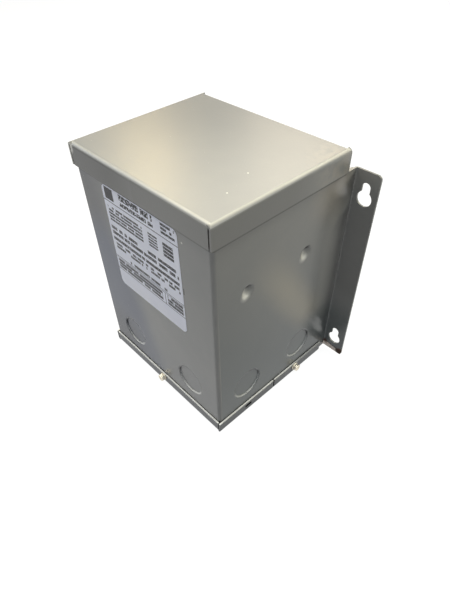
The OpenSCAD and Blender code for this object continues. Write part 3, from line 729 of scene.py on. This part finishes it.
dress(matt("former_board", (0.48, 0.38, 0.22), (0.60, 0.50, 0.31), 0.6, 260, 0.00008, (1, 1, 0.2)), "coil_former")
dress(matt("insulation_paper", (0.60, 0.53, 0.36), (0.70, 0.64, 0.46), 0.55, 180, 0.00005, (0.2, 0.2, 1)),
      "interwinding_insulation", "coil_wrap")
dress(matt("compound", (0.017, 0.016, 0.015), (0.035, 0.033, 0.030), 0.45, 500, 0.0001), "potting_compound")
dress(matt("barrier", (0.22, 0.125, 0.06), (0.31, 0.19, 0.10), 0.6, 300, 0.00006, (0.3, 1, 1)), "barrier_board")
dress(matt("grommet_rubber", (0.012, 0.012, 0.013), (0.022, 0.022, 0.024), 0.55, 400), "lead_grommets")
dress(matt("primary_insulation", (0.02, 0.02, 0.022), (0.032, 0.032, 0.035), 0.38, 300), "primary_leads")
dress(matt("secondary_insulation", (0.30, 0.032, 0.025), (0.38, 0.045, 0.034), 0.38, 300), "secondary_leads")

# %% [markdown]
# ## Floor, world and lamps
#
# The floor is pale, and a faint glow that only the camera, gloss and glass can see lifts it to
# white, so it puts no more light on the object and keeps the shadow.

# %% Lay the floor
bpy.ops.mesh.primitive_plane_add(size=12, location=(0, 0, 0))
floor = bpy.context.object
floor.name = "studio_floor"

def seen_directly(tree):
    """1 for rays from the camera, from gloss and through glass, and 0 for the light that lights things."""
    path = tree.nodes.new("ShaderNodeLightPath")
    total = path.outputs["Is Camera Ray"]
    for name in ("Is Glossy Ray", "Is Transmission Ray"):
        most = tree.nodes.new("ShaderNodeMath")
        most.operation = "MAXIMUM"
        tree.links.new(total, most.inputs[0])
        tree.links.new(path.outputs[name], most.inputs[1])
        total = most.outputs[0]
    return total

pale = bpy.data.materials.new("studio_floor")
pale.use_nodes = True
pale_shader = pale.node_tree.nodes["Principled BSDF"]
pale_shader.inputs["Base Color"].default_value = (0.16, 0.165, 0.175, 1)
pale_shader.inputs["Roughness"].default_value = 0.9
pale_shader.inputs["Specular IOR Level"].default_value = 0.0
pale_shader.inputs["Emission Color"].default_value = (1, 1, 1, 1)
glow = pale.node_tree.nodes.new("ShaderNodeMath")
glow.operation = "MULTIPLY"
glow.inputs[1].default_value = 0.92
pale.node_tree.links.new(seen_directly(pale.node_tree), glow.inputs[0])
pale.node_tree.links.new(glow.outputs[0], pale_shader.inputs["Emission Strength"])
floor.data.materials.append(pale)
print("floor is", floor.dimensions.x, "m wide")

# %% [markdown]
# The world is dim and even, so the shape is told by the softboxes. The strongest hangs high
# behind the object, where the top cover mirrors its blurred image to the camera, with a second
# one beside it and a small warm lamp that makes the glow near the front bend. The front wall
# is lit from the left and the side wall from the right and behind: each lamp passes the corner
# between them, so the bend and the mounting flange stay dark, as in the photograph.

# %% Light the world
world = bpy.data.worlds.new("studio")
bpy.context.scene.world = world
world.use_nodes = True
sky = world.node_tree.nodes["Background"]
sky.inputs["Color"].default_value = (0.96, 0.98, 1.0, 1)
strength = world.node_tree.nodes.new("ShaderNodeMapRange")
strength.inputs["To Min"].default_value = 0.07
strength.inputs["To Max"].default_value = 1.0
world.node_tree.links.new(seen_directly(world.node_tree), strength.inputs["Value"])
world.node_tree.links.new(strength.outputs[0], sky.inputs["Strength"])

# %% Hang the lamps
def lamp(name, place, size, power, colour):
    """An area lamp of a size in metres that faces the object's middle."""
    bpy.ops.object.light_add(type="AREA", location=place)
    light = bpy.context.object
    light.name = name
    light.data.shape = "RECTANGLE"
    light.data.size, light.data.size_y = size
    light.data.energy = power
    light.data.color = colour
    middle = Vector((0, 0, 0.12))
    light.rotation_euler = (middle - light.location).to_track_quat("-Z", "Y").to_euler()
    print(name, "at", place, "with", power, "W")

lamp("rear_softbox", (-1.05, 0.95, 1.44), (1.1, 0.48), 12.4, (1.0, 0.95, 0.79))
lamp("rear_right_softbox", (-0.85, 1.25, 0.98), (0.45, 0.45), 3.1, (1.0, 0.86, 0.66))
lamp("glow_lamp", (-1.30, 0.79, 1.09), (0.16, 0.16), 2.2, (1.0, 0.76, 0.36))
lamp("top_softbox", (-0.60, -0.36, 1.09), (0.36, 0.36), 3.9, (1.0, 0.95, 0.80))
lamp("near_softbox", (0.16, -0.10, 0.82), (0.2, 0.2), 1.6, (1.0, 1.0, 0.90))
lamp("left_softbox", (-1.04, -0.49, 0.73), (0.5, 0.5), 2.9, (0.95, 0.98, 1.0))
lamp("front_softbox", (-0.04, -0.90, 0.46), (0.2, 0.3), 0.85, (1.0, 1.0, 0.99))
lamp("camera_fill", (0.39, -1.08, 0.73), (0.5, 0.5), 2.5, (0.95, 0.97, 1.0))
lamp("right_softbox", (0.98, 0.55, 0.76), (0.5, 0.5), 4.0, (1.0, 1.0, 0.90))
lamp("wall_softbox", (0.42, 0.89, 0.81), (0.5, 0.5), 4.4, (1.0, 0.93, 0.70))
